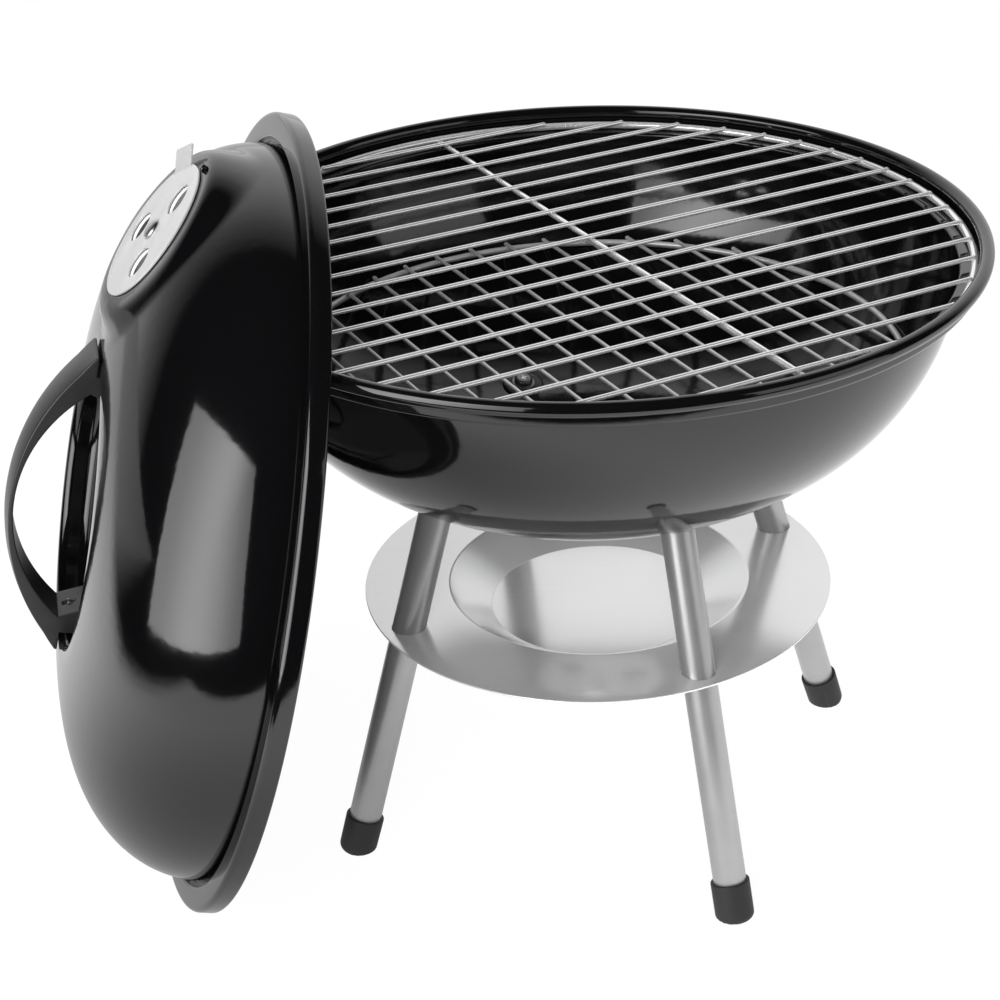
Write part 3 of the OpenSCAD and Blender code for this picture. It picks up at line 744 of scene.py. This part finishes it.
def lidSection():
    s, flangeTop = lid["sheet"], lid["lipH"] + lid["sheet"]
    innerGroove = lid["grooveR"] - s
    flareX, flareZ = lid["dishR"] + lid["dishFlare"], dishEdge - lid["dishFlare"]
    filletX, filletZ = lid["dishR"] - lid["dishFillet"], dishZ + lid["dishFillet"]
    outer = [(r, dishZ) for r in lid["dishRings"]]
    outer += arc(filletX, filletZ, lid["dishFillet"], -90, 0, 8)
    outer += arc(flareX, flareZ, lid["dishFlare"], 180, 90, 8)
    outer += domeCurve(0, flareX + 1.5, lid["domeR"] - 0.02, 64)
    outer += rounded([(lid["domeR"], lid["lipH"], 0), (lid["domeR"], lid["grooveZ"] + s, 0.5),
                      (innerGroove, lid["grooveZ"] + s, 0.5), (innerGroove, flangeTop, 1.3),
                      (lid["radius"], flangeTop - 0.25, 2.6), (lid["radius"], lid["beadR"], 0)], 8)
    outer += arc(lid["radius"] - lid["beadR"], lid["beadR"], lid["beadR"], 0, -230, 12)
    inner = rounded([(lid["radius"] - s, 2.4, 0), (lid["radius"] - s, lid["lipH"], 1.6),
                     (lid["grooveR"], lid["lipH"], 0.8), (lid["grooveR"], lid["grooveZ"], 0.8),
                     (lid["domeR"] - s, lid["grooveZ"], 0.5), (lid["domeR"] - s, lid["lipH"], 0)], 5)
    inner += domeCurve(s, flareX + 1.5, lid["domeR"] - s - 0.02, 44)[::-1]
    inner += arc(flareX, flareZ, lid["dishFlare"] - s, 90, 180, 5)
    inner += arc(filletX, filletZ, lid["dishFillet"] + s, 0, -90, 6)
    inner += [(r, dishZ - s) for r in reversed(lid["dishRings"][:-1])]
    return outer + inner


def pressSeat(mesh):
    # the flat under the damper: the dome is pressed in, or drawn out, to one tilted plane
    inverse = atSeat.inverted()
    for v in mesh.vertices:
        spot = inverse @ v.co
        spread = math.hypot(spot.x, spot.y) / mm
        if v.co.z < 20 * mm or spread > lid["seatEnd"]:
            continue
        r, z = math.hypot(v.co.x, v.co.y) / mm, v.co.z / mm - lid["lipH"]
        skin = (r / lid["domeR"]) ** lid["outPower"] + (z / lid["domeH"]) ** lid["upPower"]
        goal = 0.0 if skin > 0.99 else -lid["sheet"] * mm
        near, far = lid["pressed"] if spot.z > goal else lid["drawn"]
        t = min(max((spread - near) / (far - near), 0.0), 1.0)
        spot.z = goal + (spot.z - goal) * (t * t * (3 - 2 * t))
        v.co = atSeat @ spot
    return mesh


def makeLid():
    made = turned("lidShell", lidSection(), lid["steps"], enamel)
    pressSeat(made.data)
    low, high, radius = -0.6, lid["stopH"], lid["stopR"]
    section = rounded([(0, low, 0), (radius, low, 0), (radius, high, radius / 2), (0, high, 0)], 6)
    stop = turned("stop", section, 32, enamel)
    stop.data.transform(atSeat @ turnZ(lid["stopTurn"]) @ shift(lid["stopRing"], 0, 0))
    combined(made, stop, "UNION")
    combined(made, ventCutters(lid, -3.0, 3.0, atSeat), "DIFFERENCE")
    combined(made, handleHoles(dishZ - 4, dishZ + 4), "DIFFERENCE")
    outward(made)
    made.data.transform(atLid)
    onBody(made, "lid", "black_enamel", "lid_shell")


# lid handle: one arched moulding, held by two screws from inside
handle = {
    "width": 24.0, "half": 74.5, "rise": 30.2, "thick": 3.4, "seatLow": 50.0, "seatHigh": 60.3, "wall": 65.3,
    "inner": 57.0, "screwY": 55.15, "lift": 0.4, "endH": 1.2, "endIn": 1.6, "bevel": 6.0, "edge": 0.7,
    "crown": 1.6, "rows": (-1.0, -0.86, -0.6, -0.2, 0.2, 0.6, 0.86, 1.0), "outerSteps": 22, "innerSteps": 18,
}
handleScrew = {"radius": 2.0, "length": 13.9, "headR": 3.8, "headH": 2.4, "washerR": 5.0, "washerH": 1.0,
               "cross": (1.9, -1.2)}


def handleHoles(low, high):
    holes = []
    for side in (-1, 1):
        hole = rod(handleScrew["radius"] + screwGap, low, high, 32)
        hole.data.transform(shift(0, side * handle["screwY"], 0))
        holes.append(hole)
    return joined("handleHoles", holes)


def handleOutline():
    # one half from the crown of the arch to its foot and back inside, then mirrored
    h = handle
    footZ, top = dishEdge + h["lift"], lid["lipH"] + lid["domeH"] + h["rise"]
    rise, drop = top - footZ - h["endH"], top - h["thick"] - footZ - h["endIn"]

    def bow(width, height, high, k, steps):
        radius = (width ** 2 + height ** 2) / (2 * height)
        angle = math.asin(width / radius) * k / steps
        return radius * math.sin(angle), high - radius * (1 - math.cos(angle))

    steps, innerSteps = h["outerSteps"], h["innerSteps"]
    # the third value carries how far the crown lowers a point: the outer face only, fading at its ends
    half = [(*bow(h["half"], rise, top, k, steps), min((steps - k) / 3, 1.0)) for k in range(steps + 1)]
    half += [(x, z, 0.0) for x, z in ((h["half"], footZ), (h["wall"], footZ), (h["wall"], dishZ + h["bevel"]),
                                      (h["seatHigh"], dishZ), (h["seatLow"], dishZ))]
    under = top - h["thick"]
    half += [(*bow(h["inner"], drop, under, k, innerSteps), 0.0) for k in range(innerSteps, -1, -1)]
    return [(-x, z, crown) for x, z, crown in half[1:]][::-1] + half[:-1]


def makeHandle():
    outline = handleOutline()
    w, count = handle["width"] / 2, len(outline)
    work = bmesh.new()
    rows = [[work.verts.new((w * t * mm, y * mm, (z - handle["crown"] * crown * t * t) * mm))
             for y, z, crown in outline] for t in handle["rows"]]
    for near, far in zip(rows, rows[1:]):
        for i in range(count):
            work.faces.new((near[i], far[i], far[(i + 1) % count], near[(i + 1) % count]))
    work.faces.new(rows[0][::-1])
    work.faces.new(rows[-1])
    bmesh.ops.recalc_face_normals(work, faces=work.faces)
    made = newObject("lidHandle", bpy.data.meshes.new("lidHandle"))
    work.to_mesh(made.data)
    work.free()
    made.data.materials.append(plastic)
    bevel = made.modifiers.new("edge", "BEVEL")
    bevel.width, bevel.segments, bevel.limit_method = handle["edge"] * mm, 4, "ANGLE"
    bevel.angle_limit = math.radians(40)
    settle(made)
    combined(made, handleHoles(dishZ - 1, dishZ + 14), "DIFFERENCE")
    outward(made, 2e-6, 32.0)
    made.data.transform(atLid)
    onBody(made, "lid", "black_plastic", "lid_handle")


def makeHandleScrews():
    turns = atLid.to_euler("XYZ")
    spots = [(atLid @ Vector((0, side * handle["screwY"] * mm, dishZ * mm)), turns) for side in (-1, 1)]
    sizes = handleScrew
    high, hole, edge = -lid["sheet"], sizes["radius"] + screwGap, sizes["washerR"]
    low = high - sizes["washerH"]
    section = rounded([(hole, low, 0), (hole, high, 0.15), (edge, high, 0.2), (edge, low, 0.3),
                       (hole, low, 0)], 3)
    washer = turned("washer", section, 48, zinc)
    onBody(scattered("handleWashers", washer, spots), "lid", "zinc_steel", "lid_handle_washers")
    bottom, tip, headR, shankR = low - sizes["headH"], low + sizes["length"], sizes["headR"], sizes["radius"]
    section = rounded([(0, bottom, 0), (headR, bottom, 1.4), (headR, low, 0.2), (shankR, low, 0),
                       (shankR, tip, 0.5), (0, tip, 0)], 6)
    screw = turned("screw", section, 48, zinc)
    crossCut(screw, bottom, *sizes["cross"])
    onBody(scattered("handleScrews", screw, spots), "lid", "zinc_steel", "lid_handle_screws")


makeLid()
makeHandle()
makeHandleScrews()
print("lid made")


# dampers: a disc with three vents and a bent-up tab, and its rivet
damper = {
    "sheet": 1.0, "gap": 0.25, "edge": 0.18, "bore": 2.56, "rivetHeadR": 5.0, "rivetHeadH": 1.8,
    "tabTurn": -54.0, "tabW": 16.0, "tabRoot": 2.5, "tabLen": 11.0, "tabRise": 23.0, "notch": 0.7,
    "bendR": 1.5, "rimSteps": 150, "holeSteps": 56,
}


def damperOutline(discR):
    # the disc's edge with the tab drawn flat between two notches, pointing along +X
    half, root = damper["tabW"] / 2, discR - damper["tabRoot"] - 0.4
    slot = half + damper["notch"]
    start = math.asin(slot / discR)
    steps = damper["rimSteps"]
    rim = [(discR * math.cos(a), discR * math.sin(a))
           for a in (start + (2 * math.pi - 2 * start) * k / steps for k in range(steps + 1))]
    reach = discR - damper["tabRoot"] + damper["tabLen"]
    return rim + rounded([(*rim[-1], 0), (root, -slot, 0), (root, -half, 0), (reach, -half, 0.8),
                          (reach, half, 0.8), (root, half, 0), (root, slot, 0), (*rim[0], 0)], 5)[1:-1]


def damperLoops(sizes):
    # the outline, the rivet's bore and the three vents, which line up with the vents of the sheet behind
    last = damper["holeSteps"] - 1
    sweep = 360 * last / damper["holeSteps"]
    loops = [damperOutline(sizes["discR"]), arc(0, 0, damper["bore"], 0, sweep, last)]
    for k in range(3):
        turn = math.radians(sizes["ventTurn"] - damper["tabTurn"] + 120 * k)
        x, y = sizes["ventRing"] * math.cos(turn), sizes["ventRing"] * math.sin(turn)
        loops.append(arc(x, y, sizes["ventR"], 0, sweep, last))
    return loops


def bendTab(work, discR):
    # cuts across the tab's root let it bend up round a small radius
    bend = discR - damper["tabRoot"] - 0.3
    swing = math.radians(damper["tabRise"])
    for k in range(5):
        cut = (bend + damper["bendR"] * swing * k / 4) * mm
        bmesh.ops.bisect_plane(work, geom=work.verts[:] + work.edges[:] + work.faces[:],
                               plane_co=(cut, 0, 0), plane_no=(1, 0, 0))
    r = damper["bendR"] * mm
    for v in work.verts:
        past = v.co.x - bend * mm
        if past > 0 and abs(v.co.y) < (damper["tabW"] / 2 + 0.2) * mm:
            angle = min(past / r, swing)
            rest = past - angle * r
            height = v.co.z
            v.co.x = bend * mm + (r - height) * math.sin(angle) + rest * math.cos(angle)
            v.co.z = r - (r - height) * math.cos(angle) + rest * math.sin(angle)


def makeDamper(name, sizes, place, body, node):
    flat = bpy.data.curves.new(name, "CURVE")
    flat.dimensions, flat.fill_mode = "2D", "BOTH"
    for loop in damperLoops(sizes):
        spline = flat.splines.new("POLY")
        spline.points.add(len(loop) - 1)
        for point, (x, y) in zip(spline.points, loop):
            point.co = (x * mm, y * mm, 0, 1)
        spline.use_cyclic_u = True
    flat.extrude = (damper["sheet"] / 2 - damper["edge"]) * mm
    flat.bevel_depth, flat.bevel_resolution = damper["edge"] * mm, 2
    flat.offset = -damper["edge"] * mm
    shape = newObject(name, flat)
    mesh = shownMesh(shape)
    bpy.data.objects.remove(shape)
    made = newObject(name, mesh)
    work = bmesh.new()
    work.from_mesh(mesh)
    bmesh.ops.remove_doubles(work, verts=work.verts, dist=1e-6)
    bendTab(work, sizes["discR"])
    work.to_mesh(mesh)
    work.free()
    mesh.materials.clear()
    mesh.materials.append(discSteel)
    made.data.transform(place @ turnZ(damper["tabTurn"]) @ shift(0, 0, damper["sheet"] / 2 + damper["gap"]))
    outward(made, 1e-6, 40.0)
    onBody(made, body, "brushed_steel", node)


def makeRivet(name, sheet, place, body, node):
    gap, radius = 2 * damper["gap"] + damper["sheet"], lid["rivetR"]
    headR, headH = damper["rivetHeadR"], damper["rivetHeadH"]
    dome = arc(0, 0, 1, 0, 90, 8)
    section = [(0, -sheet - headH)] + [(headR * c, -sheet - headH * s) for c, s in dome[::-1]][1:]
    section += [(radius, -sheet), (radius, gap)] + [(headR * c, gap + headH * s) for c, s in dome]
    made = turned(name, section, 48, zinc, place)
    outward(made)
    onBody(made, body, "zinc_steel", node)


underBowl = shift(0, 0, bowlFloor) @ Matrix.Scale(-1, 4, (0, 0, 1))
makeDamper("lidDamper", lid, atLid @ atSeat, "lid_damper", "lid_damper")
makeDamper("bowlDamper", bowl, underBowl, "bowl_damper", "bowl_damper")
makeRivet("lidRivet", lid["sheet"], atLid @ atSeat, "lid", "lid_damper_rivet")
makeRivet("bowlRivet", bowl["sheet"], underBowl, "stand", "bowl_damper_rivet")
print("dampers made")


# camera, floor, reflections and lamps
studio = {
    "camera": (-0.0076, -0.9527, 0.6701), "yaw": 0.01931, "pitch": 0.53674, "roll": -0.01909, "lens": 79.1532,
    "shift": (-0.12, 0.1), "floor": 14.0, "tableX": -0.73, "tableY": -0.62, "shaded": (-0.22, -0.08),
    "farLevel": 0.46, "wall": [(0.0, 0.0), (0.69, 0.0), (0.735, 0.1), (0.79, 0.22), (0.83, 0.34), (0.9, 0.47),
                               (1.0, 0.5)],
}
cards = {
    "leftCard": {
        "corners": [(-1.3, -0.2, 0.02), (-1.3, -0.85, 0.02), (-0.55, -1.75, 0.02), (-0.55, -1.75, 1.8),
                    (-1.3, -0.85, 1.38), (-1.3, -0.2, 1.0)],
        "strength": 4.3, "ends": (0.5, 0.4),
    },
    "rightCard": {
        "corners": [(1.1, -1.3, 0.1), (1.9, -0.3, 0.1), (1.9, -0.3, 1.3), (1.1, -1.3, 1.3)],
        "strength": 0.9, "ends": (1.0, 1.0),
    },
}
lamps = {
    "topLamp": {"place": (-0.3, -0.2, 2.2), "target": (0, 0, 0.1), "size": (1.6, 1.6), "power": 34},
    "frontLamp": {"place": (-0.5, -2.2, 1.1), "target": (0, 0, 0.15), "size": (1.4, 0.8), "power": 62},
}


def setCamera():
    cos, sin = math.cos, math.sin
    yaw, pitch, roll = studio["yaw"], studio["pitch"], studio["roll"]
    ahead = Vector((sin(yaw) * cos(pitch), cos(yaw) * cos(pitch), -sin(pitch)))
    level = Vector((cos(yaw), -sin(yaw), 0))
    above = level.cross(ahead)
    right = cos(roll) * level + sin(roll) * above
    up = -sin(roll) * level + cos(roll) * above
    camera = bpy.data.objects.new("camera", bpy.data.cameras.new("camera"))
    bpy.context.scene.collection.objects.link(camera)
    turn = Matrix((right, up, -ahead)).transposed().to_4x4()
    camera.matrix_world = Matrix.Translation(studio["camera"]) @ turn
    data = camera.data
    data.sensor_width, data.lens = 36.0, studio["lens"]
    data.shift_x, data.shift_y = studio["shift"]
    data.clip_start, data.clip_end = 0.05, 60
    bpy.context.scene.camera = camera


def floorMaterial():
    # white to the camera; to reflections the floor glows as painted light: a lit table, with a painted shadow
    # round the lid's foot, and a dimmer ground beyond
    material = bpy.data.materials.new("floor")
    material.use_nodes = True
    material.node_tree.nodes.clear()
    graph = Graph(material.node_tree)
    rays = graph.node("ShaderNodeLightPath")
    spot = graph.node("ShaderNodeSeparateXYZ", None, {0: graph.node("ShaderNodeTexCoord")["Object"]})
    inward = spot["X"] + spot["Y"].calc("MAXIMUM", 0.0) * 0.6
    table = (graph.step(inward, studio["tableX"] - 0.12, studio["tableX"] + 0.1)
             * graph.step(spot["Y"], studio["tableY"] - 0.04, studio["tableY"] + 0.03))
    x, y = studio["shaded"]
    fromLid = ((spot["X"] - x) ** 2.0 + (spot["Y"] - y) ** 2.0).calc("SQRT")
    # painted shadow: the table's glow drops to about half near the lid's foot, standing in for the lid's
    # shadow in reflections
    near = table * graph.step(fromLid, 0.08, 0.42, 0.5, 1.15) * graph.step(spot["Y"], 0.1, 0.9, 1.0, 0.62)
    beyond = (1 - table) * graph.step(spot["Y"], 0.1, 0.5, 0.0, studio["farLevel"])
    white = graph.node("ShaderNodeBsdfDiffuse", None, {"Color": (0.8, 0.8, 0.8, 1)})["BSDF"]
    shine = graph.node("ShaderNodeEmission", None, {"Color": (1, 1, 1, 1), "Strength": 1.02})["Emission"]
    mirrored = graph.node("ShaderNodeEmission", None,
                          {"Color": (1, 1, 1, 1), "Strength": near + beyond})["Emission"]
    seen = graph.node("ShaderNodeMixShader", None,
                      {0: rays["Is Camera Ray"] * 0.95, 1: white, 2: shine})["Shader"]
    whole = graph.node("ShaderNodeMixShader", None,
                       {0: rays["Is Glossy Ray"], 1: seen, 2: mirrored})["Shader"]
    graph.node("ShaderNodeOutputMaterial", None, {"Surface": whole})
    return material


def setWorld():
    # white to the camera, even light on surfaces, and to reflections a dark room with a lit far wall
    world = bpy.data.worlds.new("studio")
    bpy.context.scene.world = world
    world.use_nodes = True
    world.node_tree.nodes.clear()
    graph = Graph(world.node_tree)
    rays = graph.node("ShaderNodeLightPath")
    way = graph.node("ShaderNodeSeparateXYZ", None, {0: graph.node("ShaderNodeTexCoord")["Generated"]})
    wall = graph.node("ShaderNodeValToRGB", {"stops": studio["wall"]}, {0: way["Y"] * 0.5 + 0.5})["Color"]
    glow = graph.node("ShaderNodeBackground", None, {"Color": wall, "Strength": 2.0})["Background"]
    plain = graph.node("ShaderNodeBackground", None, {"Color": (1, 1, 1, 1), "Strength": 0.55})["Background"]
    white = graph.node("ShaderNodeBackground", None, {"Color": (1, 1, 1, 1), "Strength": 1.0})["Background"]
    shiny = graph.node("ShaderNodeMixShader", None, {0: rays["Is Glossy Ray"], 1: plain, 2: glow})["Shader"]
    clear = rays["Is Camera Ray"].calc("MAXIMUM", rays["Is Transmission Ray"])
    whole = graph.node("ShaderNodeMixShader", None, {0: clear, 1: shiny, 2: white})["Shader"]
    graph.node("ShaderNodeOutputWorld", None, {"Surface": whole})


def setCard(name, corners, strength, ends):
    # a glowing card that only reflections see, dimmer towards its two ends
    mesh = bpy.data.meshes.new(name)
    mesh.from_pydata(corners, [], [tuple(range(len(corners)))])
    card = newObject(name, mesh)
    material = bpy.data.materials.new(name)
    material.use_nodes = True
    material.node_tree.nodes.clear()
    graph = Graph(material.node_tree)
    near, far = min(corner[1] for corner in corners), max(corner[1] for corner in corners)
    along = graph.node("ShaderNodeSeparateXYZ", None, {0: graph.node("ShaderNodeTexCoord")["Object"]})["Y"]
    middle = (near + far) / 2
    towardsFar = graph.step(along, middle, far, strength, strength * ends[0])
    level = towardsFar * graph.step(along, near, middle, ends[1], 1.0)
    glow = graph.node("ShaderNodeEmission", None, {"Color": (1, 1, 1, 1), "Strength": level})["Emission"]
    graph.node("ShaderNodeOutputMaterial", None, {"Surface": glow})
    mesh.materials.append(material)
    card.visible_camera = card.visible_diffuse = card.visible_shadow = card.visible_transmission = False


def setLamp(name, place, target, size, power):
    data = bpy.data.lights.new(name, "AREA")
    data.shape, data.size, data.size_y, data.energy = "RECTANGLE", size[0], size[1], power
    lamp = newObject(name, data)
    lamp.location = place
    lamp.rotation_euler = (Vector(target) - Vector(place)).to_track_quat("-Z", "Y").to_euler()
    lamp.visible_glossy = False


def makeStudio():
    side = studio["floor"]
    mesh = bpy.data.meshes.new("floor")
    corners = [(-side, -side, 0), (side, -side, 0), (side, side, 0), (-side, side, 0)]
    mesh.from_pydata(corners, [], [(0, 1, 2, 3)])
    floor = newObject("floor", mesh)
    mesh.materials.append(floorMaterial())
    floor.location.z = -0.0005
    setWorld()
    for name, card in cards.items():
        setCard(name, **card)
    for name, lamp in lamps.items():
        setLamp(name, **lamp)
    setCamera()
    bpy.context.scene.view_settings.view_transform = "Standard"


makeStudio()
print("scene ready")
